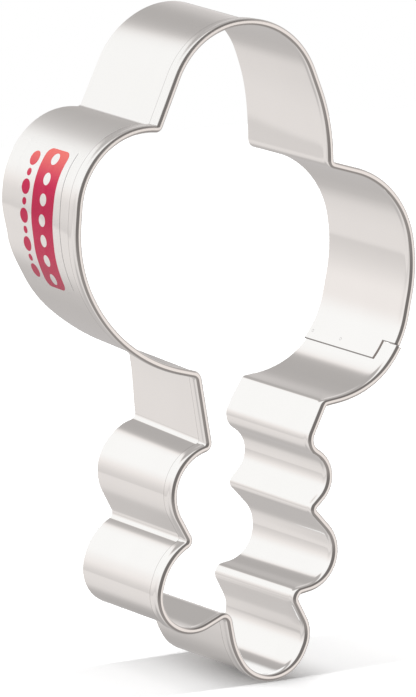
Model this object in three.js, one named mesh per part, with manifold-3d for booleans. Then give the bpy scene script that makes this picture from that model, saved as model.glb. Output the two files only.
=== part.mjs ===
import * as THREE from 'three';
import { mergeVertices } from 'three/addons/utils/BufferGeometryUtils.js';
import Module from 'manifold-3d';

// A cookie cutter bent from one strip of stainless sheet, its ends lapped and spot-welded.
// Millimetres: it lies on its cutting edge at z = 0 with the hemmed rim up,
// and +Y runs from the scalloped stem to the three-lobed head.

// Strip and hem
const sheetThickness = 0.3;
const cutterHeight = 22; // cutting edge to rim
const hemHeight = 2.6; // how far the fold comes back down the outside
const hemGap = 0.14; // between the wall and the fold
const beadWidth = 1; // the fold stays open at the rim and swells to this
const beadReach = 1.7; // the swelling starts this far below the rim

// Rim centre line, clockwise from above: x, y and bend radius at each corner
const neckTop = -8.5;
const neckLength = 5.8;
const stemCorners = [ // y from the neck's foot
  [10.1, 0, 2.2], // right neck, foot
  [16.3, -4.4, 4.2], // first right scallop
  [10.9, -9.4, 0.7], // notch between the right scallops
  [19.9, -19.4, 5.2], // second right scallop
  [7.6, -21.3, 1.1], // notch above the tip, right
  [10.7, -27.2, 4.6], // tip, right shoulder
  [4.9, -39.5, 5.8], // tip, end round
  [-2, -28.4, 11.3], // tip, left flank
  [-3.1, -22.8, 1.1], // notch above the tip, left
  [-17.4, -28.9, 5.5], // lower left scallop, bottom
  [-13, -13.9, 8.4], // lower left scallop, side
  [-9.2, -11.9, 0.6], // notch between the left scallops
  [-15.5, -0.8, 6.6], // upper left scallop
  [-6.2, 1.5, 0.6] // left neck, foot
];
const rimCorners = [
  [24.7, -6.9, 14], // right lobe, lower round
  [12.9, neckTop, 0.8], // right neck, top
  ...stemCorners.map(([x, y, radius]) => [x, y + neckTop - neckLength, radius]),
  [-8.1, -2.2, 1.1], // left neck, top
  [-20, 1, 22.8], // left lobe, lower round
  [-28, 14.6, 20.1], // left lobe, side
  [-26.4, 34.7, 11], // left lobe, upper round
  [-14.5, 33.4, 0.6], // notch beside the top lobe, left
  [-8.4, 47.3, 11.6], // top lobe, left round
  [7.7, 47.5, 12.2], // top lobe, right round
  [13.7, 32.4, 28.1], // top lobe, right flank
  [13.9, 25.9, 0.9], // notch beside the top lobe, right
  [26.1, 22.2, 13.1], // right lobe, upper round
  [28.1, 9.9, 22.5] // right lobe, side
];
const lapFromBend = 4.4; // the hems meet this far round the right lobe's lower bend

// The free cutting edge has sprung out of line with the rim as the strip was bent:
// distance along the strip from where the hems meet, then how far the edge stands off in x and y
const edgeDrift = [
  [12, 0, 0],
  [20, -0.5, 0.2], // right neck
  [29, -0.5, 0.2], // first right scallop
  [38, -0.1, 0],
  [48, 0.1, -0.4], // notch above the tip, right
  [60, 0, -0.2],
  [72, -0.2, -0.3], // tip
  [95, 0, 0],
  [112, 0.2, 0.1],
  [118, 0.7, 0.5], // upper left scallop
  [128, 1.4, 0.1], // left neck
  [140, 1.7, 0.5], // left lobe, lower round
  [151, 1.4, 0.1],
  [158, 0.8, 0],
  [164, 0, 0],
  [180, -0.1, 0.4], // left lobe, upper round
  [197, 0.1, -0.1],
  [208, 0.1, 0.4],
  [219, 0.7, 0.5], // top lobe, right flank
  [232, 0, 0]
];

// Lap joint: the strip's ends run on as plain tongues, one on each side of the other
const tongueDrop = 3.6; // tongues stop this far below the rim
const innerTongueLength = 3;
const outerTongueLength = 3;
const hemMeetGap = 0.1;
const lapGap = 0.12; // between the lapped sheets
const lapEaseLength = 5; // the outer end bends back into line over this length

// Spot welds through the lap
const weldDiameter = 1;
const weldPenetration = 0.15; // into each sheet
const weldClearance = 0.02;
const weldSetback = 1.4; // from the inner tongue's end
const lowerWeldHeight = 1;
const upperWeldHeight = 8.5;
const weldMarkDepth = 0.05; // dish that the electrode leaves on each side

// Clear film label on the outside of the left lobe
const labelStart = 151; // along the strip from where the hems meet
const labelLength = 22.5;
const labelFoot = 3;
const labelHeight = 13.4;
const labelThickness = 0.1;
const labelGap = 0.03;

// Fineness of the round stretches
const arcTolerance = 0.035;
const longestRun = 4;
const shortestRun = 0.05;
const foldSegments = 6;
const foldGapSegments = 3;
const swellSegments = 2;
const weldSegments = 24;

// Offsets outward from the rim's centre line
const flapInner = hemGap / 2;
const flapOuter = flapInner + sheetThickness;
const wallOuter = -flapInner;
const wallInner = -flapOuter;
const tongueTop = cutterHeight - tongueDrop;
const beadCentre = cutterHeight - beadWidth / 2;
const lapStep = sheetThickness + lapGap;

const wasm = await Module();
wasm.setup();

// Straight runs joined by an arc at each corner
function makeRimPath() {
  const path = new THREE.Path();
  const corners = rimCorners.map(([x, y]) => new THREE.Vector2(x, y));
  rimCorners.forEach(([, , radius], i) => {
    const corner = corners[i];
    const before = corners.at(i - 1);
    const after = corners[(i + 1) % corners.length];
    const arrive = corner.clone().sub(before).normalize();
    const leave = after.clone().sub(corner).normalize();
    const turn = Math.atan2(arrive.cross(leave), arrive.dot(leave));
    const tangentLength = radius * Math.tan(Math.abs(turn) / 2);
    const start = corner.clone().addScaledVector(arrive, -tangentLength);
    const toCentre = new THREE.Vector2(-arrive.y, arrive.x).multiplyScalar(Math.sign(turn));
    const centre = start.clone().addScaledVector(toCentre, radius);
    const startAngle = Math.atan2(-toCentre.y, -toCentre.x);
    path.absarc(centre.x, centre.y, radius, startAngle, startAngle + turn, turn < 0);
  });
  path.closePath();
  return path;
}

// Each run of the rim with where it starts and the stations that follow its shape
function makeRuns(path) {
  let start = 0;
  return path.curves.map((curve) => {
    const length = curve.getLength();
    const run = { curve, start, length, stations: [] };
    let chord = longestRun;
    if (curve.isEllipseCurve) {
      chord = 2 * Math.sqrt(2 * curve.xRadius * arcTolerance);
    }
    const count = Math.ceil(length / chord);
    for (let i = 0; i < count; i += 1) {
      run.stations.push(start + (length * i) / count);
    }
    start += length;
    return run;
  });
}

const rimRuns = makeRuns(makeRimPath());
const lastRun = rimRuns.at(-1);
const rimLength = lastRun.start + lastRun.length;
const hemStart = hemMeetGap / 2;
const hemEnd = rimLength - hemMeetGap / 2;

// Point and outward direction on the rim, by distance along the strip from the hems' meeting
function rimAt(distance) {
  const along = THREE.MathUtils.euclideanModulo(distance + lapFromBend, rimLength);
  const run = rimRuns.findLast((candidate) => candidate.start <= along);
  const t = (along - run.start) / run.length;
  const tangent = run.curve.getTangent(t);
  return { point: run.curve.getPoint(t), outward: new THREE.Vector2(-tangent.y, tangent.x) };
}

// Stations from one distance along the strip to another, both ends included
function stationsBetween(from, to) {
  const stations = [from];
  const natural = rimRuns.flatMap((run) => run.stations);
  [-rimLength, 0, rimLength].forEach((lapCount) => {
    natural.forEach((station) => {
      const distance = station - lapFromBend + lapCount;
      if (distance > stations.at(-1) + shortestRun && distance < to - shortestRun) {
        stations.push(distance);
      }
    });
  });
  stations.push(to);
  return stations;
}

// How far the cutting edge stands off from under the rim
function driftAt(distance) {
  const next = edgeDrift.findIndex(([mark]) => mark > distance);
  if (next <= 0) {
    return new THREE.Vector2();
  }
  const [from, fromX, fromY] = edgeDrift[next - 1];
  const [to, toX, toY] = edgeDrift[next];
  const share = THREE.MathUtils.smoothstep(distance, from, to);
  return new THREE.Vector2(fromX, fromY).lerp(new THREE.Vector2(toX, toY), share);
}

// How far the lap holds the wall outward
function lapShift(distance) {
  const easeStart = innerTongueLength + sheetThickness;
  return lapStep * (1 - THREE.MathUtils.smoothstep(distance, easeStart, easeStart + lapEaseLength));
}

function wallPoint(distance, offset, z) {
  const { point, outward } = rimAt(distance);
  point.addScaledVector(outward, offset + lapShift(distance));
  point.addScaledVector(driftAt(distance), 1 - z / cutterHeight);
  return new THREE.Vector3(point.x, point.y, z);
}

// Builds one surface from rings of points, each ring a section across the strip
function makeShell() {
  const points = [];
  const faces = [];
  return {
    ring(distance, section) {
      return section.map(([offset, z]) => points.push(wallPoint(distance, offset, z)) - 1);
    },
    join(ring, nextRing) {
      ring.forEach((corner, i) => {
        const j = (i + 1) % ring.length;
        faces.push(corner, ring[j], nextRing[j], corner, nextRing[j], nextRing[i]);
      });
    },
    cap(ring, section, facesAhead) {
      const contour = section.map(([offset, z]) => new THREE.Vector2(offset, z));
      THREE.ShapeUtils.triangulateShape(contour, []).forEach(([a, b, c]) => {
        faces.push(ring[a], ring[facesAhead ? b : c], ring[facesAhead ? c : b]);
      });
    },
    geometry() {
      const geometry = new THREE.BufferGeometry().setFromPoints(points);
      geometry.setIndex(faces);
      return geometry;
    }
  };
}

// A plain band that follows the wall
function makeBand(from, to, offsets, heights) {
  const [near, far] = offsets;
  const [foot, top] = heights;
  const section = [[near, foot], [far, foot], [far, top], [near, top]];
  const shell = makeShell();
  const rings = stationsBetween(from, to).map((distance) => shell.ring(distance, section));
  shell.cap(rings[0], section, false);
  rings.slice(1).forEach((ring, i) => shell.join(rings[i], ring));
  shell.cap(rings.at(-1), section, true);
  return shell.geometry();
}

// Half a turn of the bead, from one side of its centre to the other
function makeBeadTurn(radius, segments) {
  const turn = [];
  for (let i = 1; i < segments; i += 1) {
    const angle = (Math.PI * i) / segments;
    turn.push([radius * Math.cos(angle), beadCentre + radius * Math.sin(angle)]);
  }
  return turn;
}

// One face of the hem from its closed part up into the bead, by its offset in each
function makeSwell(closedOffset, beadOffset) {
  const foot = cutterHeight - beadReach;
  const swell = [];
  for (let i = 0; i <= swellSegments; i += 1) {
    const z = THREE.MathUtils.lerp(foot, beadCentre, i / swellSegments);
    const share = THREE.MathUtils.smoothstep(z, foot, beadCentre);
    swell.push([THREE.MathUtils.lerp(closedOffset, beadOffset, share), z]);
  }
  return swell;
}

// Section of the strip: a plain wall whose top swells into a bead, folds over and comes down outside
function makeHemSection() {
  const beadOuter = beadWidth / 2;
  const beadInner = beadOuter - sheetThickness;
  const freeEdge = cutterHeight - hemHeight;
  return [
    [wallInner, 0],
    [wallOuter, 0],
    [wallOuter, tongueTop],
    ...makeSwell(wallOuter, -beadInner),
    ...makeBeadTurn(beadInner, foldGapSegments).reverse(),
    ...makeSwell(flapInner, beadInner).reverse(),
    [flapInner, freeEdge],
    [flapOuter, freeEdge],
    ...makeSwell(flapOuter, beadOuter),
    ...makeBeadTurn(beadOuter, foldSegments),
    ...makeSwell(wallInner, -beadOuter).reverse(),
    [wallInner, tongueTop]
  ];
}

// The hemmed strip once round the rim, with a plain tongue carried on from each end
function makeStrip() {
  const section = makeHemSection();
  const shell = makeShell();
  const tongueOf = (ring) => [ring[0], ring[1], ring[2], ring.at(-1)];
  const tongueSection = tongueOf(section);
  const shoulder = section.slice(2);

  const rings = stationsBetween(hemStart, hemEnd).map((distance) => shell.ring(distance, section));
  rings.slice(1).forEach((ring, i) => shell.join(rings[i], ring));
  shell.cap(rings[0].slice(2), shoulder, false);
  shell.cap(rings.at(-1).slice(2), shoulder, true);

  const outer = stationsBetween(-outerTongueLength, hemStart).slice(0, -1);
  const outerRings = outer.map((distance) => shell.ring(distance, tongueSection));
  outerRings.push(tongueOf(rings[0]));
  outerRings.slice(1).forEach((ring, i) => shell.join(outerRings[i], ring));
  shell.cap(outerRings[0], tongueSection, false);

  const inner = stationsBetween(hemEnd, rimLength + innerTongueLength).slice(1);
  const innerRings = inner.map((distance) => shell.ring(distance, tongueSection));
  innerRings.unshift(tongueOf(rings.at(-1)));
  innerRings.slice(1).forEach((ring, i) => shell.join(innerRings[i], ring));
  shell.cap(innerRings.at(-1), tongueSection, true);
  return shell.geometry();
}

// A turned shape standing on the lap at a weld, its axis straight through the sheets
function placeAtWeld(profile, z, offset) {
  const turned = new THREE.LatheGeometry(profile, weldSegments);
  turned.deleteAttribute('uv');
  turned.deleteAttribute('normal');
  const geometry = mergeVertices(turned, arcTolerance / weldSegments);
  const { point, outward } = rimAt(rimLength + innerTongueLength - weldSetback);
  point.addScaledVector(outward, offset);
  const through = new THREE.Vector3(outward.x, outward.y, 0);
  const up = new THREE.Vector3(0, 0, 1);
  const placing = new THREE.Matrix4().makeBasis(through.clone().cross(up), through, up);
  placing.setPosition(point.x, point.y, z);
  return geometry.applyMatrix4(placing);
}

// Lens of fused metal across both sheets, or with a clearance the pocket it fills
function makeNugget(z, clearance) {
  const radius = weldDiameter / 2 + clearance;
  const depth = lapGap / 2 + weldPenetration + clearance;
  const profile = [];
  const steps = weldSegments / 4;
  for (let i = 0; i <= steps; i += 1) {
    const angle = Math.PI * (i / steps - 1 / 2);
    profile.push(new THREE.Vector2(radius * Math.cos(angle), depth * Math.sin(angle)));
  }
  profile[0].x = 0;
  profile.at(-1).x = 0;
  return placeAtWeld(profile, z, wallOuter + lapGap / 2);
}

// Dish pressed by the electrode, opening inward or outward from a face of the lap
function makeWeldMark(z, offset, opening) {
  const radius = weldDiameter / 2;
  const profile = [
    new THREE.Vector2(0, -weldMarkDepth * opening),
    new THREE.Vector2(radius / 2, -weldMarkDepth * opening * 0.75),
    new THREE.Vector2(radius, 0),
    new THREE.Vector2(radius, sheetThickness * opening),
    new THREE.Vector2(0, sheetThickness * opening)
  ];
  if (opening < 0) {
    profile.reverse();
  }
  return placeAtWeld(profile, z, offset);
}

function toSolid(geometry) {
  return new wasm.Manifold(new wasm.Mesh({
    numProp: 3,
    vertProperties: Float32Array.from(geometry.attributes.position.array),
    triVerts: Uint32Array.from(geometry.index.array)
  }));
}

function toGeometry(solid) {
  const mesh = solid.getMesh();
  const geometry = new THREE.BufferGeometry();
  geometry.setAttribute('position', new THREE.BufferAttribute(Float32Array.from(mesh.vertProperties), 3));
  geometry.setIndex(Array.from(mesh.triVerts));
  return geometry;
}

// The strip with the weld pockets and electrode marks in its lap
function makeWeldedStrip() {
  let strip = toSolid(makeStrip());
  [lowerWeldHeight, upperWeldHeight].forEach((z) => {
    strip = strip.subtract(toSolid(makeNugget(z, weldClearance)));
    strip = strip.subtract(toSolid(makeWeldMark(z, wallInner, -1)));
    strip = strip.subtract(toSolid(makeWeldMark(z, wallOuter + lapGap + sheetThickness, 1)));
  });
  return toGeometry(strip);
}

function makeLabel() {
  const back = wallOuter + labelGap;
  return makeBand(
    labelStart,
    labelStart + labelLength,
    [back, back + labelThickness],
    [labelFoot, labelFoot + labelHeight]
  );
}

const stainless = new THREE.MeshStandardMaterial({ color: 0xcfccc9, roughness: 0.22, metalness: 1 });
const weldMetal = new THREE.MeshStandardMaterial({ color: 0xa9a5a1, roughness: 0.45, metalness: 1 });
const clearFilm = new THREE.MeshStandardMaterial({
  color: 0xf3ecec,
  roughness: 0.12,
  metalness: 0,
  transparent: true,
  opacity: 0.35
});

function named(name, geometry, material) {
  geometry.computeVertexNormals();
  const mesh = new THREE.Mesh(geometry, material);
  mesh.name = name;
  return mesh;
}

const cutter = new THREE.Group();
cutter.name = 'cookie_cutter';
cutter.add(
  named('blade_strip', makeWeldedStrip(), stainless),
  named('spot_weld_lower', makeNugget(lowerWeldHeight, 0), weldMetal),
  named('spot_weld_upper', makeNugget(upperWeldHeight, 0), weldMetal),
  named('clear_label', makeLabel(), clearFilm)
);

export default cutter;
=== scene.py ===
import math

import bpy
from mathutils import Matrix, Vector


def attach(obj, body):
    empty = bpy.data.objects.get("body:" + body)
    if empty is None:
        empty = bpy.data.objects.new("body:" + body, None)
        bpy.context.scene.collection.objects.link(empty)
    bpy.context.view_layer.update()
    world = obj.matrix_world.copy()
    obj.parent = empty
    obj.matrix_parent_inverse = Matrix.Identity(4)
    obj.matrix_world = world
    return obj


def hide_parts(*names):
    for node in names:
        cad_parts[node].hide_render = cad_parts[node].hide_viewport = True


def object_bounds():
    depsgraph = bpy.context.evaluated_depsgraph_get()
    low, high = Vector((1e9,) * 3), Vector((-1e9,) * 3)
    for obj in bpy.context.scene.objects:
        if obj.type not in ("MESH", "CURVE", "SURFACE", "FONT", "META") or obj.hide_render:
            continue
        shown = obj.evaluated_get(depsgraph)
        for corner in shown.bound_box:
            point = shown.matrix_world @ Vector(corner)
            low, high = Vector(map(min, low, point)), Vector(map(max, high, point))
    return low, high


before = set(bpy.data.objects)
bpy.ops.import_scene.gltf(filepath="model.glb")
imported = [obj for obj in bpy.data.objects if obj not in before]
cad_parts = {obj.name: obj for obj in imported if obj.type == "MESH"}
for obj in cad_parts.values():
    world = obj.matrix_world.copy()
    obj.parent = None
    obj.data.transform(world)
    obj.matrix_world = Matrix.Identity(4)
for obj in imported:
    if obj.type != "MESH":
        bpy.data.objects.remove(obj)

cad_low, cad_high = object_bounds()

# Outline of the cutter: the line that the rim follows, straight runs joined by bends.
# The strip is bent round it on a former, from the right lobe's lap clockwise and back to the lap.
mm = 0.001
cutter_height = 22 * mm
outline_corners = [  # x, y and bend radius in mm, clockwise from above
    (24.7, -6.9, 14),
    (12.9, -8.5, 0.8),
    (10.1, -14.3, 2.2),
    (16.3, -18.7, 4.2),
    (10.9, -23.7, 0.7),
    (19.9, -33.7, 5.2),
    (7.6, -35.6, 1.1),
    (10.7, -41.5, 4.6),
    (4.9, -53.8, 5.8),
    (-2, -42.7, 11.3),
    (-3.1, -37.1, 1.1),
    (-17.4, -43.2, 5.5),
    (-13, -28.2, 8),
    (-9.2, -26.2, 0.85),
    (-15.5, -15.1, 6.6),
    (-6.2, -12.8, 0.85),
    (-8.1, -2.2, 1.1),
    (-20, 1, 22.8),
    (-28, 14.6, 20.1),
    (-26.4, 34.7, 11),
    (-14.5, 33.4, 0.6),
    (-8.4, 47.3, 11.6),
    (7.7, 47.5, 12.2),
    (13.7, 32.4, 28.1),
    (13.9, 25.9, 0.9),
    (26.1, 22.2, 13.1),
    (28.1, 9.9, 22.5),
]
edge_drift = [  # distance from where the hems meet, then how far the cutting edge stands off in x and y
    (-10, 0, 0),
    (12, 0, 0),
    (20, -0.5, 0.2),
    (29, -0.5, 0.2),
    (38, -0.1, 0),
    (48, 0.1, -0.4),
    (60, 0, -0.2),
    (72, -0.2, -0.3),
    (95, 0, 0),
    (112, 0.2, 0.1),
    (118, 0.7, 0.5),
    (128, 1.4, 0.1),
    (140, 1.7, 0.5),
    (151, 1.4, 0.1),
    (158, 0.8, 0),
    (164, 0, 0),
    (180, -0.1, 0.4),
    (197, 0.1, -0.1),
    (208, 0.1, 0.4),
    (219, 0.7, 0.5),
    (232, 0, 0),
    (290, 0, 0),
]
lap_from_bend = 4.4 * mm
outer_tongue = 3 * mm
inner_tongue = 3 * mm
hem_meet_gap = 0.1 * mm
bend_step = math.radians(5)
straight_step = 0.7 * mm
least_station_gap = 0.02 * mm


def outline_runs():
    """Straight runs and bends in order, each as (length, turn, function from 0..1 to a point)."""
    corners = [Vector((x, y)) * mm for x, y, _ in outline_corners]
    bends = []
    for i, (_, _, radius) in enumerate(outline_corners):
        corner = corners[i]
        arrive = (corner - corners[i - 1]).normalized()
        leave = (corners[(i + 1) % len(corners)] - corner).normalized()
        turn = math.atan2(arrive.x * leave.y - arrive.y * leave.x, arrive.dot(leave))
        reach = radius * mm * math.tan(abs(turn) / 2)
        inward = Vector((-arrive.y, arrive.x)) * math.copysign(1, turn)
        start = corner - arrive * reach
        bends.append((start, corner + leave * reach, start + inward * radius * mm, -inward, turn))
    runs = []
    for i, (start, end, centre, arm, turn) in enumerate(bends):
        radius = (start - centre).length

        def on_bend(t, centre=centre, arm=arm, radius=radius, turn=turn):
            return centre + Matrix.Rotation(turn * t, 2) @ arm * radius

        after = bends[(i + 1) % len(bends)][0]
        runs.append((radius * abs(turn), abs(turn), on_bend))
        runs.append(((after - end).length, 0, lambda t, a=end, b=after: a.lerp(b, t)))
    return runs


def outline_stations():
    """Points along the strip with their distance from where the hems meet, tongues included."""
    runs = outline_runs()
    rim_length = sum(length for length, _, _ in runs)
    marks = (-hem_meet_gap / 2, hem_meet_gap / 2)
    wanted = {-outer_tongue, rim_length + inner_tongue, *marks, *(rim_length + m for m in marks)}
    start = -lap_from_bend
    for length, turn, _ in runs:
        count = math.ceil(max(turn / bend_step, length / straight_step))
        for i in range(count):
            wanted.add(start + length * i / count)
            wanted.add(start + length * i / count + rim_length)
        start += length
    inside = sorted(d for d in wanted if -outer_tongue <= d <= rim_length + inner_tongue)
    keep = [inside[0]]
    for distance in inside[1:]:
        if distance - keep[-1] > least_station_gap:
            keep.append(distance)
    points = []
    for distance in keep:
        left = (distance + lap_from_bend) % rim_length
        for length, _, place in runs:
            if left <= length:
                points.append(place(left / length))
                break
            left -= length
    return keep, points, rim_length


distances, rim_points, rim_length = outline_stations()


def drift_at(distance):
    """How far the cutting edge has sprung from under the rim."""
    i = max(k for k, row in enumerate(edge_drift[:-1]) if row[0] * mm <= distance)
    (start, *before), (end, *after) = edge_drift[i], edge_drift[i + 1]
    t = (distance / mm - start) / (end - start)
    return Vector(before).lerp(Vector(after), t * t * (3 - 2 * t)) * mm


def helper_line(name, points, attributes):
    """A line of points that a node tree reads, with numbers carried on each point."""
    mesh = bpy.data.meshes.new(name)
    mesh.from_pydata(points, [(i, i + 1) for i in range(len(points) - 1)], [])
    for key, values in attributes.items():
        mesh.attributes.new(key, "FLOAT", "POINT").data.foreach_set("value", values)
    line = bpy.data.objects.new(name, mesh)
    bpy.context.scene.collection.objects.link(line)
    return line


drifts = [drift_at(d) for d in distances]
outline_line = helper_line("outline_line", [(p.x, p.y, 0) for p in rim_points], {
    "along": distances, "drift_x": [d.x for d in drifts], "drift_y": [d.y for d in drifts]})


def feed(tree, socket, value):
    """Links a socket to another socket, or sets its number."""
    if isinstance(value, bpy.types.NodeSocket):
        tree.links.new(value, socket)
    else:
        socket.default_value = value


def add(tree, kind, inputs=None, **settings):
    """A node with its settings and its inputs, by name or place."""
    node = tree.nodes.new(kind)
    for key, value in settings.items():
        setattr(node, key, value)
    for key, value in (inputs or {}).items():
        feed(tree, node.inputs[key], value)
    return node


def calc(tree, operation, *values):
    """One step of arithmetic."""
    return add(tree, "ShaderNodeMath", dict(enumerate(values)), operation=operation).outputs[0]


def smooth(tree, value, low, high):
    """Rises smoothly from 0 at low to 1 at high."""
    ranges = {"Value": value, "From Min": low, "From Max": high}
    node = add(tree, "ShaderNodeMapRange", ranges, interpolation_type="SMOOTHSTEP")
    return node.outputs["Result"]


def stored(tree, name):
    """A number carried on the points of a helper line."""
    node = add(tree, "GeometryNodeInputNamedAttribute", {"Name": name}, data_type="FLOAT")
    return node.outputs["Attribute"]


def new_tree(name, inputs):
    """A geometry node tree with named inputs, and its input and output nodes."""
    tree = bpy.data.node_groups.new(name, "GeometryNodeTree")
    tree.interface.new_socket("Geometry", in_out="OUTPUT", socket_type="NodeSocketGeometry")
    tree.interface.new_socket("Geometry", in_out="INPUT", socket_type="NodeSocketGeometry")
    for key, kind in inputs.items():
        tree.interface.new_socket(key, in_out="INPUT", socket_type="NodeSocket" + kind)
    return tree, add(tree, "NodeGroupInput").outputs, add(tree, "NodeGroupOutput").inputs["Geometry"]


def vector_calc(tree, operation, *values):
    """One step of vector arithmetic."""
    return add(tree, "ShaderNodeVectorMath", dict(enumerate(values)), operation=operation).outputs[0]


def scaled(tree, vector, factor):
    """A vector made longer or shorter."""
    return add(tree, "ShaderNodeVectorMath", {0: vector, "Scale": factor}, operation="SCALE").outputs[0]


def split(tree, vector):
    """The X, Y and Z of a vector."""
    return add(tree, "ShaderNodeSeparateXYZ", {0: vector}).outputs


def joined(tree, **parts):
    """A vector from its X, Y and Z."""
    return add(tree, "ShaderNodeCombineXYZ", parts).outputs[0]


def here(tree):
    """The X, Y and Z of each point as it lies."""
    return split(tree, add(tree, "GeometryNodeInputPosition").outputs[0])


def bend_tree():
    """Takes flat work, with x along the strip, y outward and z up, and bends it round the outline."""
    tree, given, result = new_tree("bend_round_outline", {
        "Outline": "Object", "Path Start": "Float", "Cutter Height": "Float", "Lap Step": "Float",
        "Lap Ease Start": "Float", "Lap Ease End": "Float"})
    flat = here(tree)
    line = add(tree, "GeometryNodeObjectInfo", {"Object": given["Outline"]}).outputs["Geometry"]
    curve = add(tree, "GeometryNodeMeshToCurve", {"Mesh": line}).outputs["Curve"]
    reach = calc(tree, "SUBTRACT", flat["X"], given["Path Start"])
    drift = joined(tree, X=stored(tree, "drift_x"), Y=stored(tree, "drift_y"))
    rim = add(tree, "GeometryNodeSampleCurve", {"Curves": curve, "Length": reach}, mode="LENGTH",
              data_type="FLOAT_VECTOR")
    feed(tree, next(s for s in rim.inputs if s.name == "Value" and s.enabled), drift)
    sprung = next(s for s in rim.outputs if s.name == "Value" and s.enabled)
    outward = vector_calc(tree, "CROSS_PRODUCT", (0, 0, 1), rim.outputs["Tangent"])
    eased = smooth(tree, flat["X"], given["Lap Ease Start"], given["Lap Ease End"])
    lapped = calc(tree, "MULTIPLY", given["Lap Step"], calc(tree, "SUBTRACT", 1.0, eased))
    depth = calc(tree, "SUBTRACT", 1.0, calc(tree, "DIVIDE", flat["Z"], given["Cutter Height"]))
    side = scaled(tree, outward, calc(tree, "ADD", flat["Y"], lapped))
    spring = scaled(tree, sprung, depth)
    rise = joined(tree, Z=flat["Z"])
    foot = vector_calc(tree, "ADD", rim.outputs["Position"], side)
    place = vector_calc(tree, "ADD", vector_calc(tree, "ADD", foot, spring), rise)
    bent = add(tree, "GeometryNodeSetPosition", {"Geometry": given["Geometry"], "Position": place})
    tree.links.new(bent.outputs[0], result)
    return tree


# Blade strip: one length of bright rolled stainless sheet, bent round the outline.
# Its rim is folded to the outside as a safe bead for the hand, its other edge is left as
# sheared to cut with, and each end runs on below the hem as a plain tongue for the lap.
sheet = 0.3 * mm
hem_height = 2.6 * mm
hem_gap = 0.14 * mm
bead_width = 1.0 * mm
bead_foot = 1.7 * mm
tongue_top = 18.4 * mm
lap_gap = 0.12 * mm
lap_ease = 11 * mm
edge_shade_width = 0.14 * mm
rubbed_from = (160 * mm, 172 * mm)
rubbed_to = (204 * mm, 211 * mm)
notch_rubbed_from = (170 * mm, 180.5 * mm)
notch_rubbed_to = (182.8 * mm, 183.6 * mm)
notch_rubbed_below = (18.5 * mm, 20 * mm)
wall_station = 19.2 * mm
wall_steps = 8
bead_steps = 8
fold_steps = 24
sharp_edge_angle = math.radians(40)
hem_shade_share = 0.5
steel_deep = (0.862, 0.852, 0.835)
steel_pale = (0.886, 0.878, 0.862)
# Grey of the painted shade line along the sheet's cut edges.
cut_edge_shade_grey = (0.24, 0.22, 0.21)
cloud_scale = (90, 160, 1)
rolling_line_scale = (60, 5200, 1)
rolling_line_depth = 0.02 * mm
rolling_line_strength = 0.04
rolled_roughness = (0.06, 0.11)
rubbed_roughness = 0.15
notch_roughness = 0.3
wall_offset = (sheet + hem_gap) / 2
bead_radius = (bead_width - sheet) / 2
bead_centre = cutter_height - bead_width / 2
bend_round_outline = bend_tree()


def hem_section():
    """Middle of the sheet across the strip, as (offset outward, height) from the cutting edge."""
    def bulge(height):
        """How far the sheet stands from the strip's middle, where the rim swells into its bead."""
        t = (height - cutter_height + bead_foot) / (bead_foot - bead_width / 2)
        t = min(max(t, 0), 1)
        return wall_offset + (bead_radius - wall_offset) * t * t * (3 - 2 * t)

    free_edge = cutter_height - hem_height
    curve_foot = cutter_height - bead_foot
    heights = [curve_foot + (bead_centre - curve_foot) * i / bead_steps for i in range(bead_steps + 1)]
    wall = [tongue_top * i / wall_steps for i in range(wall_steps + 1)] + [wall_station]
    section = [(-wall_offset, z) for z in wall]
    section += [(-bulge(z), z) for z in heights]
    for i in range(1, fold_steps):
        angle = math.pi * (1 - i / fold_steps)
        section.append((bead_radius * math.cos(angle), bead_centre + bead_radius * math.sin(angle)))
    section += [(bulge(z), z) for z in reversed(heights)]
    section += [(wall_offset, (curve_foot + free_edge) / 2), (wall_offset, free_edge)]
    return section


section_points = hem_section()
across = [0.0]
for a, b in zip(section_points, section_points[1:]):
    across.append(across[-1] + math.dist(a, b))
section_line = helper_line("section_line", [(o, z, 0) for o, z in section_points], {
    "offset": [o for o, _ in section_points], "rise": [z for _, z in section_points], "across": across})


def bend_node(tree, geometry, outline):
    """Bends flat work round this cutter's outline."""
    sizes = {
        "Geometry": geometry, "Outline": outline, "Path Start": -outer_tongue,
        "Cutter Height": cutter_height, "Lap Step": sheet + lap_gap,
        "Lap Ease Start": inner_tongue + sheet, "Lap Ease End": inner_tongue + sheet + lap_ease}
    node = tree.nodes.new("GeometryNodeGroup")
    node.node_tree = bend_round_outline
    for key, value in sizes.items():
        feed(tree, node.inputs[key], value)
    return node.outputs["Geometry"]


def end_tree(tree, flat_work, chart, outline, material, result):
    """Maps the flat work, bends it round the outline and ends the tree with it in its material."""
    mapped = add(tree, "GeometryNodeStoreNamedAttribute",
                 {"Geometry": flat_work, "Name": "UVMap", "Value": chart},
                 data_type="FLOAT2", domain="CORNER")
    bent = bend_node(tree, mapped.outputs[0], outline)
    real = add(tree, "GeometryNodeRealizeInstances", {"Geometry": bent}).outputs[0]
    finished = add(tree, "GeometryNodeSetMaterial", {"Geometry": real, "Material": material})
    tree.links.new(finished.outputs[0], result)
    return tree


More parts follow.
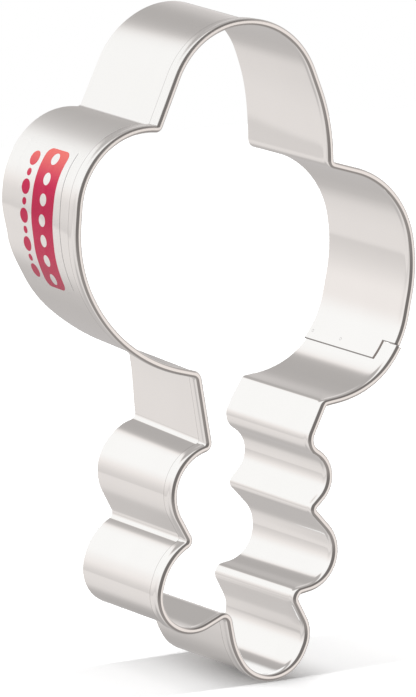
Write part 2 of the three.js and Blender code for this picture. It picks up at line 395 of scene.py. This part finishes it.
def strip_tree():
    """Sweeps the hem's section along the strip, trims both tongues and bends the work round the outline."""
    tree, given, result = new_tree("hemmed_strip", {
        "Outline": "Object", "Section": "Object", "Tongue Top": "Float", "Hem Start": "Float",
        "Hem End": "Float", "Metal": "Material"})
    lines = []
    for key in ("Outline", "Section"):
        line = add(tree, "GeometryNodeObjectInfo", {"Object": given[key]}).outputs["Geometry"]
        lines.append(add(tree, "GeometryNodeMeshToCurve", {"Mesh": line}).outputs["Curve"])
    swept = add(tree, "GeometryNodeCurveToMesh", {
        "Curve": lines[0], "Profile Curve": lines[1]}).outputs["Mesh"]
    along, offset, rise = (stored(tree, key) for key in ("along", "offset", "rise"))
    outside_hem = calc(tree, "MAXIMUM", calc(tree, "LESS_THAN", along, given["Hem Start"]),
                       calc(tree, "GREATER_THAN", along, given["Hem End"]))
    waste = calc(tree, "MULTIPLY", outside_hem, calc(tree, "GREATER_THAN", rise, given["Tongue Top"]))
    trimmed = add(tree, "GeometryNodeDeleteGeometry", {"Geometry": swept, "Selection": waste}, domain="FACE")
    flat = joined(tree, X=along, Y=offset, Z=rise)
    laid = add(tree, "GeometryNodeSetPosition", {"Geometry": trimmed.outputs[0], "Position": flat})
    grain = joined(tree, X=along, Y=stored(tree, "across"))
    return end_tree(tree, laid.outputs[0], grain, given["Outline"], given["Metal"], result)


def made_by(tree, name, sizes, thickness=0.0, thickness_offset=0.0):
    """Runs a node tree with its sizes and returns the result as a plain mesh object."""
    maker = bpy.data.objects.new(name + "_maker", bpy.data.meshes.new(name + "_maker"))
    bpy.context.scene.collection.objects.link(maker)
    modifier = maker.modifiers.new("shape", "NODES")
    modifier.node_group = tree
    for item in tree.interface.items_tree:
        if item.in_out == "INPUT" and item.name in sizes:
            modifier[item.identifier] = sizes[item.name]
    if thickness:
        wall = maker.modifiers.new("thickness", "SOLIDIFY")
        wall.thickness = thickness
        wall.offset = thickness_offset
        wall.use_even_offset = True
    bpy.context.view_layer.update()
    evaluated = maker.evaluated_get(bpy.context.evaluated_depsgraph_get())
    mesh = bpy.data.meshes.new_from_object(evaluated)
    mesh.name = name
    mesh.shade_smooth()
    mesh.set_sharp_from_angle(angle=sharp_edge_angle)
    piece = bpy.data.objects.new(name, mesh)
    bpy.context.scene.collection.objects.link(piece)
    bpy.data.objects.remove(maker)
    return piece


def new_material(name):
    """A node material and its Principled shader."""
    material = bpy.data.materials.new(name)
    material.use_nodes = True
    return material, material.node_tree, material.node_tree.nodes["Principled BSDF"].inputs


def stretched_noise(tree, scale, detail):
    """Noise drawn out along the strip, on the piece's own map in metres."""
    spot = add(tree, "ShaderNodeTexCoord").outputs["UV"]
    drawn = add(tree, "ShaderNodeMapping", {"Vector": spot, "Scale": scale}).outputs[0]
    noise = add(tree, "ShaderNodeTexNoise", {"Vector": drawn, "Scale": 1.0, "Detail": detail})
    return noise.outputs["Fac"]


def ranged(tree, value, low, high):
    """Spreads a number from 0..1 over low..high."""
    ends = {"Value": value, "To Min": low, "To Max": high}
    return add(tree, "ShaderNodeMapRange", ends).outputs["Result"]


def between(tree, factor, low, high):
    """A colour between two colours, each given as numbers or linked."""
    node = add(tree, "ShaderNodeMix", data_type="RGBA")
    feed(tree, node.inputs[0], factor)
    for socket, colour in ((node.inputs[6], low), (node.inputs[7], high)):
        feed(tree, socket, (*colour, 1) if isinstance(colour, tuple) else colour)
    return node.outputs[2]


def on_map(tree):
    """X along the strip and Y across it, on the piece's own map in metres."""
    return split(tree, add(tree, "ShaderNodeTexCoord").outputs["UV"])


def cut_edge_shade(tree):
    """1 in a fine line of painted shade along the sheet's cut edges: the lap's inner end, its step and the
    hem's edge.
    """
    spot = on_map(tree)
    lap_end = rim_length + inner_tongue
    hem_end = rim_length - hem_meet_gap / 2
    at_end = smooth(tree, spot["X"], lap_end - edge_shade_width, lap_end - edge_shade_width / 2)
    past_hem = smooth(tree, spot["X"], hem_end - edge_shade_width, hem_end - edge_shade_width / 2)
    over_tongue = smooth(tree, spot["Y"], tongue_top - edge_shade_width, tongue_top - edge_shade_width / 2)
    at_step = calc(tree, "MULTIPLY", past_hem, over_tongue)
    free_edge = smooth(tree, spot["Y"], across[-1] - edge_shade_width, across[-1] - edge_shade_width / 2)
    at_hem = calc(tree, "MULTIPLY", free_edge, hem_shade_share)
    return calc(tree, "MAXIMUM", calc(tree, "MAXIMUM", at_end, at_step), at_hem)


def bright_rolled_steel():
    """Bright annealed stainless: mirror-like, with fine rolling lines, duller where it was rubbed, and with
    a fine dark line of painted shade along its cut edges.
    """
    material, tree, shader = new_material("bright_rolled_steel")
    shader["Metallic"].default_value = 1.0
    clouds = stretched_noise(tree, cloud_scale, 4.0)
    lines = stretched_noise(tree, rolling_line_scale, 2.0)
    sheet_colour = between(tree, clouds, steel_deep, steel_pale)
    # The base colour turns grey in a fine line of painted shade along the cut edges.
    feed(tree, shader["Base Color"], between(tree, cut_edge_shade(tree), sheet_colour, cut_edge_shade_grey))
    spot = on_map(tree)

    def stretch(rise, fall):
        """1 on a stretch of the strip, with soft ends."""
        return calc(tree, "SUBTRACT", smooth(tree, spot["X"], *rise), smooth(tree, spot["X"], *fall))

    rubbed = stretch(rubbed_from, rubbed_to)
    on_wall = calc(tree, "SUBTRACT", 1.0, smooth(tree, spot["Y"], *notch_rubbed_below))
    notch = calc(tree, "MULTIPLY", stretch(notch_rubbed_from, notch_rubbed_to), on_wall)
    dull = calc(tree, "ADD", calc(tree, "MULTIPLY", rubbed, rubbed_roughness),
                calc(tree, "MULTIPLY", notch, notch_roughness))
    feed(tree, shader["Roughness"], calc(tree, "ADD", ranged(tree, lines, *rolled_roughness), dull))
    bump = add(tree, "ShaderNodeBump", {
        "Height": lines, "Strength": rolling_line_strength, "Distance": rolling_line_depth})
    feed(tree, shader["Normal"], bump.outputs[0])
    return material


steel = bright_rolled_steel()
blade_strip = made_by(strip_tree(), "hemmed_blade_strip", {
    "Outline": outline_line, "Section": section_line, "Tongue Top": tongue_top,
    "Hem Start": hem_meet_gap / 2, "Hem End": rim_length - hem_meet_gap / 2, "Metal": steel}, sheet)
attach(blade_strip, "root")
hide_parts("blade_strip")
blade_strip.visible_glossy = False

# Spot welds: two buttons of metal fused through both lapped ends between a pair of electrodes.
# Each is a little dished, with a rim of squeezed metal and a grey heat tint.
weld_radius = 0.24 * mm
weld_proud = 0.006 * mm
weld_dish = 0.04 * mm
weld_inset = 1.4 * mm
weld_distance = rim_length + inner_tongue - weld_inset
weld_heights = {"spot_weld_lower": 1 * mm, "spot_weld_upper": 8.5 * mm}
weld_turns = 32
weld_face = [  # share of the radius, height of the face over the sheet
    (0, -weld_dish), (0.35, -weld_dish * 0.8), (0.65, -weld_dish * 0.2), (0.85, weld_proud),
    (0.95, weld_proud * 0.8), (1, -weld_proud)]
weld_deep = (0.16, 0.15, 0.145)
weld_pale = (0.36, 0.34, 0.33)
weld_roughness = (0.25, 0.42)
mottle_scale = 4000.0
mottle_depth = 0.02 * mm
mottle_strength = 0.15


def rim_place(distance):
    """Point on the outline and the direction outward from it."""
    i = max(k for k, d in enumerate(distances[:-1]) if d <= distance)
    t = (distance - distances[i]) / (distances[i + 1] - distances[i])
    ahead = (rim_points[i + 1] - rim_points[i]).normalized()
    return rim_points[i].lerp(rim_points[i + 1], t), Vector((-ahead.y, ahead.x))


def weld_button(name, height, material):
    """A round button through the lap, dished on both faces."""
    inner = -wall_offset - sheet / 2
    outer = inner + 2 * sheet + lap_gap
    half = (outer - inner) / 2
    profile = [(r * weld_radius, half + d) for r, d in weld_face]
    profile += [(r, -d) for r, d in reversed(profile)]
    centre, outward = rim_place(weld_distance)
    through = Vector((outward.x, outward.y, 0))
    across_lap = through.cross(Vector((0, 0, 1)))
    middle = Vector((centre.x, centre.y, height)) + through * (inner + half)
    points = [middle + through * profile[0][1]]
    for r, d in profile[1:-1]:
        for k in range(weld_turns):
            angle = 2 * math.pi * k / weld_turns
            spoke = across_lap * math.cos(angle) + Vector((0, 0, math.sin(angle)))
            points.append(middle + through * d + spoke * r)
    points.append(middle + through * profile[-1][1])
    rings = len(profile) - 2

    def ring_point(ring, k):
        """Number of a point on one of the button's rings."""
        return 1 + ring * weld_turns + k % weld_turns

    faces = [(0, ring_point(0, k + 1), ring_point(0, k)) for k in range(weld_turns)]
    for ring in range(rings - 1):
        for k in range(weld_turns):
            faces.append((ring_point(ring, k), ring_point(ring, k + 1),
                          ring_point(ring + 1, k + 1), ring_point(ring + 1, k)))
    last = len(points) - 1
    faces += [(last, ring_point(rings - 1, k), ring_point(rings - 1, k + 1)) for k in range(weld_turns)]
    mesh = bpy.data.meshes.new(name)
    mesh.from_pydata(points, [], faces)
    mesh.shade_smooth()
    mesh.materials.append(material)
    piece = bpy.data.objects.new(name, mesh)
    bpy.context.scene.collection.objects.link(piece)
    return piece


def heat_tinted_metal():
    """Weld metal: grey, duller than the sheet, mottled."""
    material, tree, shader = new_material("heat_tinted_weld")
    shader["Metallic"].default_value = 1.0
    spot = add(tree, "ShaderNodeTexCoord").outputs["Object"]
    mottle = add(tree, "ShaderNodeTexNoise", {
        "Vector": spot, "Scale": mottle_scale, "Detail": 3.0}).outputs["Fac"]
    feed(tree, shader["Base Color"], between(tree, mottle, weld_deep, weld_pale))
    feed(tree, shader["Roughness"], ranged(tree, mottle, *weld_roughness))
    bump = add(tree, "ShaderNodeBump", {
        "Height": mottle, "Strength": mottle_strength, "Distance": mottle_depth})
    feed(tree, shader["Normal"], bump.outputs[0])
    return material


weld_metal = heat_tinted_metal()
for node, height in weld_heights.items():
    button = weld_button(node.replace("spot_weld", "weld_button"), height, weld_metal)
    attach(button, "root")
    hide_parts(node)

# Label film: a clear plastic film stuck to the outside of the left lobe, its corners rounded.
# It is die-cut, and its edge on the rim side is painted with a fine dark line of shade.
film_start = 151 * mm
film_length = 22.5 * mm
film_foot = 3 * mm
film_height = 13.4 * mm
film_corner = 1.5 * mm
film_thickness = 0.1 * mm
glue_gap = 0.03 * mm
film_back = glue_gap - hem_gap / 2
film_edge = 0.16 * mm
film_columns = 121
film_rows = 31
film_white = (0.93, 0.92, 0.91)
film_edge_shade_grey = (0.16, 0.15, 0.15)
film_haze = (0.01, 0.03)
film_haze_scale = (700, 900, 1)
film_edge_shade_opacity = 0.6
film_roughness = (0.06, 0.14)


def placed_map(tree):
    """The flat work's own map: distance along the strip and height."""
    flat = here(tree)
    return joined(tree, X=flat["X"], Y=flat["Z"])


def film_tree():
    """A flat rectangle with rounded corners, laid on the wall and bent with it."""
    tree, given, result = new_tree("label_film", {
        "Outline": "Object", "Start": "Float", "Length": "Float", "Foot": "Float", "Height": "Float",
        "Corner": "Float", "Offset": "Float", "Film": "Material"})
    grid = add(tree, "GeometryNodeMeshGrid", {
        "Size X": given["Length"], "Size Y": given["Height"],
        "Vertices X": film_columns, "Vertices Y": film_rows})
    flat = here(tree)
    half_length = calc(tree, "MULTIPLY", given["Length"], 0.5)
    half_height = calc(tree, "MULTIPLY", given["Height"], 0.5)
    from_end = calc(tree, "SUBTRACT", half_length, calc(tree, "ABSOLUTE", flat["X"]))
    into_corner = calc(tree, "MAXIMUM", calc(tree, "SUBTRACT", given["Corner"], from_end), 0.0)
    level = calc(tree, "SQRT", calc(tree, "SUBTRACT", calc(tree, "POWER", given["Corner"], 2.0),
                                    calc(tree, "POWER", into_corner, 2.0)))
    cut = calc(tree, "SUBTRACT", given["Corner"], level)
    share = calc(tree, "SUBTRACT", 1.0, calc(tree, "DIVIDE", cut, half_height))
    rise = calc(tree, "ADD", calc(tree, "MULTIPLY", flat["Y"], share),
                calc(tree, "ADD", half_height, given["Foot"]))
    along = calc(tree, "ADD", flat["X"], calc(tree, "ADD", half_length, given["Start"]))
    laid = joined(tree, X=along, Y=given["Offset"], Z=rise)
    placed = add(tree, "GeometryNodeSetPosition", {"Geometry": grid.outputs["Mesh"], "Position": laid})
    return end_tree(tree, placed.outputs[0], placed_map(tree), given["Outline"], given["Film"], result)


def clear_film():
    """Clear film: nearly invisible, with a fine dark line of painted shade where its cut edge faces the rim.
    """
    material, tree, shader = new_material("clear_label_film")
    shader["IOR"].default_value = 1.45
    spot = on_map(tree)
    film_top = film_foot + film_height
    # Painted shade: the film turns grey and less clear in a fine line along its edge on the rim side.
    edge = smooth(tree, spot["Y"], film_top - film_edge, film_top - film_edge / 2)
    haze = stretched_noise(tree, film_haze_scale, 3.0)
    feed(tree, shader["Base Color"], between(tree, edge, film_white, film_edge_shade_grey))
    edge_shade = calc(tree, "MULTIPLY", edge, film_edge_shade_opacity)
    feed(tree, shader["Alpha"], calc(tree, "ADD", ranged(tree, haze, *film_haze), edge_shade))
    feed(tree, shader["Roughness"], ranged(tree, haze, *film_roughness))
    return material


label_film = made_by(film_tree(), "clear_label_film", {
    "Outline": outline_line, "Start": film_start, "Length": film_length, "Foot": film_foot,
    "Height": film_height, "Corner": film_corner, "Offset": film_back, "Film": clear_film()},
    film_thickness, 1.0)
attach(label_film, "root")
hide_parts("clear_label")
label_film.visible_glossy = False

# Label print: one pass of crimson ink on the film, a bar with a row of clear rounds in it and
# dots of two sizes under it. It lies a little out of level, as the label was stuck on by hand.
print_start = 151.4 * mm
print_length = 20.8 * mm
bar_middle = 11.5 * mm
bar_height = 6 * mm
bar_corner = 1.2 * mm
round_count = 7
round_radius = 0.9 * mm
dots_middle = 6.4 * mm
large_dots = {"count": 5, "radius": 1.1 * mm}
small_dots = {"count": 4, "radius": 0.55 * mm}
print_slope = 0.055
ink_thickness = 0.02 * mm
ink_gap = 0.005 * mm
ink_back = film_back + film_thickness + ink_gap
round_steps = 28
bar_corner_steps = 8
bar_step = 0.4 * mm
sheen_from = 0.72
crimson_deep = (0.56, 0.008, 0.07)
crimson_bright = (0.66, 0.016, 0.1)
sheen_pink = (0.85, 0.17, 0.15)
ink_grain_scale = (2500, 2500, 1)
ink_roughness = (0.16, 0.26)


def row_of_rounds(tree, count, radius, spacing, middle):
    """A row of circles, centred on the print."""
    first = joined(tree, X=calc(tree, "MULTIPLY", spacing, -(count - 1) / 2), Y=middle)
    step = joined(tree, X=spacing)
    row = add(tree, "GeometryNodeMeshLine", {"Count": count, "Start Location": first, "Offset": step})
    circle = add(tree, "GeometryNodeCurvePrimitiveCircle", {"Resolution": round_steps, "Radius": radius})
    placed = add(tree, "GeometryNodeInstanceOnPoints", {
        "Points": row.outputs[0], "Instance": circle.outputs[0]})
    return add(tree, "GeometryNodeRealizeInstances", {0: placed.outputs[0]}).outputs[0]


def print_tree():
    """The print's outlines, filled, laid on the film and bent with it."""
    tree, given, result = new_tree("label_print", {
        "Outline": "Object", "Start": "Float", "Length": "Float", "Bar Middle": "Float",
        "Bar Height": "Float", "Dots Middle": "Float", "Slope": "Float", "Offset": "Float",
        "Ink": "Material"})
    bar = add(tree, "GeometryNodeCurvePrimitiveQuadrilateral", {
        "Width": given["Length"], "Height": given["Bar Height"]}).outputs[0]
    bar = add(tree, "GeometryNodeFilletCurve", {
        "Curve": bar, "Radius": bar_corner, "Count": bar_corner_steps}, mode="POLY").outputs[0]
    up = joined(tree, Y=given["Bar Middle"])
    bar = add(tree, "GeometryNodeTransform", {"Geometry": bar, "Translation": up}).outputs[0]
    bar = add(tree, "GeometryNodeResampleCurve", {
        "Curve": bar, "Length": bar_step}, mode="LENGTH").outputs[0]
    pitch = calc(tree, "DIVIDE", given["Length"], round_count)
    rounds = row_of_rounds(tree, round_count, round_radius, pitch, given["Bar Middle"])
    pitch = calc(tree, "DIVIDE", given["Length"], large_dots["count"])
    large = row_of_rounds(tree, *large_dots.values(), pitch, given["Dots Middle"])
    small = row_of_rounds(tree, *small_dots.values(), pitch, given["Dots Middle"])
    outlines = add(tree, "GeometryNodeJoinGeometry")
    for piece in (bar, rounds, large, small):
        tree.links.new(piece, outlines.inputs[0])
    filled = add(tree, "GeometryNodeFillCurve", {"Curve": outlines.outputs[0]}, mode="TRIANGLES").outputs[0]
    flat = here(tree)
    middle = calc(tree, "ADD", given["Start"], calc(tree, "MULTIPLY", given["Length"], 0.5))
    rise = calc(tree, "ADD", flat["Y"], calc(tree, "MULTIPLY", flat["X"], given["Slope"]))
    laid = joined(tree, X=calc(tree, "ADD", flat["X"], middle), Y=given["Offset"], Z=rise)
    placed = add(tree, "GeometryNodeSetPosition", {"Geometry": filled, "Position": laid})
    return end_tree(tree, placed.outputs[0], placed_map(tree), given["Outline"], given["Ink"], result)


def crimson_ink():
    """Crimson ink: glossy on the bright sheet, with a painted sheen that turns it pinker towards its upper
    end.
    """
    material, tree, shader = new_material("crimson_ink")
    shader["Metallic"].default_value = 0.85
    spot = on_map(tree)
    # Painted sheen: the ink pales to pink over the last part of the print's length.
    sheen = smooth(tree, spot["X"], print_start + sheen_from * print_length, print_start + print_length)
    grain = stretched_noise(tree, ink_grain_scale, 3.0)
    full = between(tree, grain, crimson_deep, crimson_bright)
    feed(tree, shader["Base Color"], between(tree, sheen, full, sheen_pink))
    feed(tree, shader["Roughness"], ranged(tree, grain, *ink_roughness))
    return material


label_print = made_by(print_tree(), "crimson_label_print", {
    "Outline": outline_line, "Start": print_start, "Length": print_length, "Bar Middle": bar_middle,
    "Bar Height": bar_height, "Dots Middle": dots_middle, "Slope": print_slope, "Offset": ink_back,
    "Ink": crimson_ink()}, ink_thickness, 1.0)
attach(label_print, "root")
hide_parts("clear_label")
label_print.visible_glossy = False

# Helper lines have done their work.
for line in (outline_line, section_line):
    bpy.data.objects.remove(line)

# Floor: a pale sheet that the stem's tip stands on as photographed, so it lies across +Y.
# Its back is open, so that it hides nothing from the views below it.
floor_gap = 0.02 * mm
floor_height = cad_low[1] - floor_gap
floor_reach = 0.4
paper_white = (0.8, 0.8, 0.8, 1)
# The paper's glow is painted light: faint at this middle and stronger out to the radius, so that the cast
# shadow shows round the stem's tip and fades away from it.
shadow = {
    "middle": (5.5 * mm, floor_height, 17 * mm), "radius": 12 * mm, "depth_share": 0.33,
    "levels": (0.07, 0.52)}
contact_shade = {
    "middle": (4.2 * mm, floor_height, 14.5 * mm), "radius": 5.5 * mm, "depth_share": 0.48,
    "levels": (0.45, 1.0)}
under_shade = {
    "middle": (-6 * mm, floor_height, 3 * mm), "radius": 17 * mm, "depth_share": 0.4,
    "levels": (0.82, 1.0)}
mesh = bpy.data.meshes.new("floor")
mesh.from_pydata([(-floor_reach, floor_height, -floor_reach), (-floor_reach, floor_height, floor_reach),
                  (floor_reach, floor_height, floor_reach), (floor_reach, floor_height, -floor_reach)],
                 [], [(0, 1, 2, 3)])
floor = bpy.data.objects.new("floor", mesh)
bpy.context.scene.collection.objects.link(floor)


def stage_material(name):
    """A material with an empty node tree."""
    material = bpy.data.materials.new(name)
    material.use_nodes = True
    material.node_tree.nodes.clear()
    return material, material.node_tree


def show(tree, shader, kind="Material"):
    """Ends a tree with what it shows."""
    tree.links.new(shader, add(tree, "ShaderNodeOutput" + kind).inputs["Surface"])


def pale_paper():
    """White paper that takes the object's shadow, under a glow of painted light that fades that shadow away
    from the tip, and clear to the metal but for two soft shades.
    """
    material, tree = stage_material("pale_paper")
    paper = add(tree, "ShaderNodeBsdfDiffuse", {"Color": paper_white}).outputs[0]
    rays = add(tree, "ShaderNodeLightPath").outputs
    spot = add(tree, "ShaderNodeTexCoord").outputs["Object"]

    def out_from(patch):
        """Rises smoothly from the middle of a patch of the paper to its rim, between its levels."""
        apart = vector_calc(tree, "SUBTRACT", spot, patch["middle"])
        apart = vector_calc(tree, "MULTIPLY", apart, (1, 1, patch["depth_share"]))
        away = add(tree, "ShaderNodeVectorMath", {0: apart}, operation="LENGTH").outputs["Value"]
        return ranged(tree, smooth(tree, away, 0.0, patch["radius"]), *patch["levels"])

    # Painted light: the glow that the eye sees on the paper, weakest round the tip.
    glow = add(tree, "ShaderNodeEmission", {"Color": (1, 1, 1, 1), "Strength": out_from(shadow)})
    seen = add(tree, "ShaderNodeAddShader", {0: paper, 1: glow.outputs[0]}).outputs[0]
    direct = add(tree, "ShaderNodeMixShader", {0: rays["Is Camera Ray"], 1: paper, 2: seen}).outputs[0]
    back = add(tree, "ShaderNodeNewGeometry").outputs["Backfacing"]
    away = calc(tree, "MAXIMUM", back, rays["Is Glossy Ray"])
    shade = calc(tree, "MULTIPLY", out_from(contact_shade), out_from(under_shade))
    clear = add(tree, "ShaderNodeBsdfTransparent", {"Color": shade}).outputs[0]
    show(tree, add(tree, "ShaderNodeMixShader", {0: away, 1: direct, 2: clear}).outputs[0])
    return material


mesh.materials.append(pale_paper())

# Bounce card: a slip of white card beside the stem's tip, which the bottom of the tip mirrors.
# It stands on the floor just outside the right wall, and shows in the metal alone.
card_side = 10.7 * mm
card_top = (-42.2 * mm, -37.8 * mm)
card_depth = (-6 * mm, 16 * mm)
card_glow = 1.05
card_least_reach = 7 * mm
mesh = bpy.data.meshes.new("bounce_card")
mesh.from_pydata([(card_side, y, z) for y, z in (
    (floor_height, card_depth[0]), (card_top[1], card_depth[0]),
    (card_top[1], card_depth[1]), (floor_height, card_depth[1]))], [], [(0, 1, 2, 3)])
bounce_card = bpy.data.objects.new("bounce_card", mesh)
bpy.context.scene.collection.objects.link(bounce_card)


def white_card():
    """White card with a soft upper edge, too close to the outside of the tip to show in it."""
    material, tree = stage_material("white_card")
    spot = split(tree, add(tree, "ShaderNodeTexCoord").outputs["Object"])
    lit = add(tree, "ShaderNodeEmission", {"Color": (1, 1, 1, 1), "Strength": card_glow}).outputs[0]
    clear = add(tree, "ShaderNodeBsdfTransparent").outputs[0]
    reach = add(tree, "ShaderNodeLightPath").outputs["Ray Length"]
    near = calc(tree, "LESS_THAN", reach, card_least_reach)
    open_part = calc(tree, "MAXIMUM", smooth(tree, spot["Y"], *card_top), near)
    show(tree, add(tree, "ShaderNodeMixShader", {0: open_part, 1: lit, 2: clear}).outputs[0])
    return material


mesh.materials.append(white_card())
bounce_card.visible_camera = False
bounce_card.visible_diffuse = False
bounce_card.visible_transmission = False
bounce_card.visible_shadow = False

# Studio: white paper all round for the eye, and for the metal a ring of paper, card and floor
# behind the cutter, a darker room at its sides and one broad soft light in front.
ring_levels = [  # direction round the ring, brightness
    (0, 0.84), (6, 0.74), (14, 0.69), (24, 0.65), (31, 0.61), (37, 0.54), (45, 0.48), (60, 0.465),
    (76, 0.475), (84, 0.5), (88, 0.57), (91, 0.74), (94, 0.94), (99, 1.04), (108, 1.08), (152, 1.08),
    (160, 1.055), (168, 1.0), (176, 0.93), (186, 0.83), (194, 0.76), (204, 0.7), (206, 0.825),
    (222, 0.815), (240, 0.775), (247, 0.74), (256, 0.65), (266, 0.56), (282, 0.525), (330, 0.51),
    (352, 0.39), (360, 0.84)]
ring_white = 1.08
ring_warmth = (0.045, 0.0, -0.017)
ring_warm_span = 0.15
ring_edge = (-0.4, 0.1)
room_dark = 0.19
room_tint = (1.08, 1.0, 0.965)
front_light = 0.88
front_from_left = (-0.02, 0.3)
front_from_back = (0.0, 0.35)
front_height = (0.4, 0.68)
side_light = 0.5
side_from_left = (0.4, 0.85)
side_from_back = (-0.25, 0.05)
floor_light = 0.3
floor_edge = (-0.5, -0.05)
plain_light = 0.27


def studio_world():
    """Light from all round, painted by direction for the metal and plain for everything else."""
    world = bpy.data.worlds.new("studio")
    world.use_nodes = True
    tree = world.node_tree
    tree.nodes.clear()
    towards = split(tree, add(tree, "ShaderNodeTexCoord").outputs["Generated"])
    turn = calc(tree, "DIVIDE", calc(tree, "ARCTAN2", towards["Y"], towards["X"]), 2 * math.pi)
    ramp = add(tree, "ShaderNodeValToRGB", {0: calc(tree, "FRACT", turn)})
    stops = ramp.color_ramp.elements
    while len(stops) < len(ring_levels):
        stops.new(0.5)
    for stop, (degrees, level) in zip(stops, ring_levels):
        stop.position = degrees / 360
        warm = min(1, max(0, (ring_white - level) / ring_warm_span))
        stop.color = (*(level * (1 + tint * warm) for tint in ring_warmth), 1)
    front = calc(tree, "MULTIPLY", smooth(tree, towards["X"], *front_from_left),
                 smooth(tree, towards["Z"], *front_from_back))
    past_top = smooth(tree, calc(tree, "ABSOLUTE", towards["Y"]), *front_height)
    front = calc(tree, "MULTIPLY", front, calc(tree, "SUBTRACT", 1.0, past_top))
    side = calc(tree, "MULTIPLY", smooth(tree, towards["X"], *side_from_left),
                smooth(tree, towards["Z"], *side_from_back))
    below = calc(tree, "SUBTRACT", 1.0, smooth(tree, towards["Y"], *floor_edge))
    room = calc(tree, "MAXIMUM", ranged(tree, side, room_dark, side_light),
                ranged(tree, below, room_dark, floor_light))
    brighter = calc(tree, "MULTIPLY", front, calc(tree, "SUBTRACT", front_light, room))
    room = calc(tree, "ADD", room, brighter)
    ring = calc(tree, "SUBTRACT", 1.0, smooth(tree, towards["Z"], *ring_edge))
    warm_room = between(tree, room, (0.0, 0.0, 0.0), room_tint)
    studio = between(tree, ring, warm_room, ramp.outputs["Color"])
    rays = add(tree, "ShaderNodeLightPath").outputs
    glossy = add(tree, "ShaderNodeBackground", {"Color": studio, "Strength": 1.0}).outputs[0]
    plain = add(tree, "ShaderNodeBackground", {"Color": (1, 1, 1, 1), "Strength": plain_light}).outputs[0]
    white = add(tree, "ShaderNodeBackground", {"Color": (1, 1, 1, 1), "Strength": 1.0}).outputs[0]
    lit = add(tree, "ShaderNodeMixShader", {0: rays["Is Glossy Ray"], 1: plain, 2: glossy}).outputs[0]
    eye = calc(tree, "MAXIMUM", rays["Is Camera Ray"], rays["Is Transmission Ray"])
    show(tree, add(tree, "ShaderNodeMixShader", {0: eye, 1: lit, 2: white}).outputs[0], "World")
    return world


bpy.context.scene.world = studio_world()
lamp_length = 5
lamp_width = 0.25
lamp_power = 100
lamp_place = (-0.7, 3, 0.011)
lamp_data = bpy.data.lights.new("overhead_strip_light", "AREA")
lamp_data.shape = "RECTANGLE"
lamp_data.size = lamp_length
lamp_data.size_y = lamp_width
lamp_data.energy = lamp_power
lamp = bpy.data.objects.new("overhead_strip_light", lamp_data)
bpy.context.scene.collection.objects.link(lamp)
lamp.location = lamp_place
lamp.rotation_euler = (math.radians(-90), 0, 0)
lamp.visible_glossy = False

# Camera: a long lens in front of the rim, to the left of it and a little above,
# at the angle that the cutter was photographed from.
camera_place = (-0.545201, 0.202772, 0.907315)
camera_data = bpy.data.cameras.new("camera")
camera_data.sensor_width = 36
camera_data.lens = 387.37
camera_data.clip_start = 0.01
camera = bpy.data.objects.new("camera", camera_data)
bpy.context.scene.collection.objects.link(camera)
right = Vector((0.85434, 0, 0.51972))
up = Vector((0.09908, 0.98166, -0.16287))
back = Vector((-0.51019, 0.19064, 0.83867))
turned = Matrix((right, up, back)).transposed().to_4x4()
camera.matrix_world = Matrix.Translation(camera_place) @ turned
bpy.context.scene.camera = camera
bpy.context.scene.view_settings.view_transform = "Standard"
